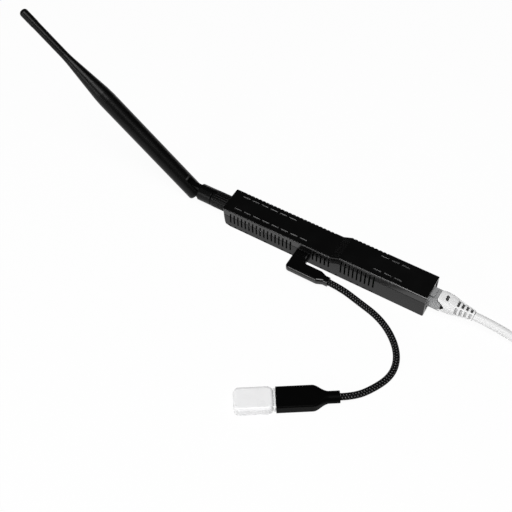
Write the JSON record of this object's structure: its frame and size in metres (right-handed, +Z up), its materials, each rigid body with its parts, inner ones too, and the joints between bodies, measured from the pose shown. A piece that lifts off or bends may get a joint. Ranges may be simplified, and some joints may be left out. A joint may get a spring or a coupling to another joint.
{
  "type": "smart home usb radio stick",
  "caption": "Long stepped black housing with vents, a tilting rod antenna at one end, a right-angle USB-C lead to a capped USB-A plug and a white network lead at the other end",
  "frame": {"origin": "middle of the housing's flat underside", "axes": "+X along the housing towards its network end, -Y towards the side with the USB-C port, +Z up through the slotted roof"},
  "size_m": [0.4352, 0.2538, 0.1159],
  "materials": {
    "black_plastic": "fine-grained moulded plastic, dull",
    "gloss_black_plastic": "smooth moulded plastic, satin to glossy",
    "black_rubber": "soft matt elastomer",
    "black_braid": "woven sleeve with light flecks",
    "white_rubber": "smooth white cable jacket and boot",
    "clear_plastic": "milky clear plastic",
    "circuit_board": "solder mask over glass fibre",
    "steel": "plated sheet steel",
    "gold_plate": "gold-plated brass"
  },
  "bodies": {
    "housing": {"bottom_shell": "black_plastic", "top_cover": "black_plastic", "main_board": "circuit_board", "board_screws": "steel", "network_jack": "steel", "usb_c_receptacle": "steel", "usb_c_tongue": "black_plastic", "antenna_jack": "gold_plate", "mesh_radio_module": "steel", "wireless_module": "steel", "usb_bridge_chip": "black_plastic", "network_chip": "black_plastic", "poe_transformer": "black_plastic", "poe_capacitor": "steel", "status_leds": "clear_plastic", "antenna_nut": "black_rubber", "usb_c_plug": "gloss_black_plastic", "usb_c_plug_shell": "steel", "usb_cord": "black_braid", "usb_a_overmould": "black_rubber", "usb_a_shell": "steel", "usb_a_tongue": "black_plastic", "usb_a_cap": "clear_plastic", "network_plug": "clear_plastic", "network_plug_contacts": "gold_plate", "network_plug_boot": "white_rubber", "network_cable": "white_rubber", "network_cable_coil": "white_rubber", "network_cable_tail": "white_rubber", "far_network_plug": "clear_plastic", "far_plug_contacts": "gold_plate", "far_plug_boot": "white_rubber"},
    "antenna_swivel": {"antenna_knuckle": "black_rubber", "hinge_pin": "steel"},
    "antenna_rod": {"antenna_whip": "black_rubber", "antenna_tip": "black_rubber"}
  },
  "joints": [
    {"name": "antenna_turn", "type": "hinge", "parent": "housing", "child": "antenna_swivel", "pos_m": [-0.1005, 0, 0.0084], "axis": [1, 0, 0], "range_deg": [-90, 90]},
    {"name": "antenna_tilt", "type": "hinge", "parent": "antenna_swivel", "child": "antenna_rod", "pos_m": [-0.1088, 0, 0.0084], "axis": [0, 1, 0], "range_deg": [-40, 49]}
  ]
}
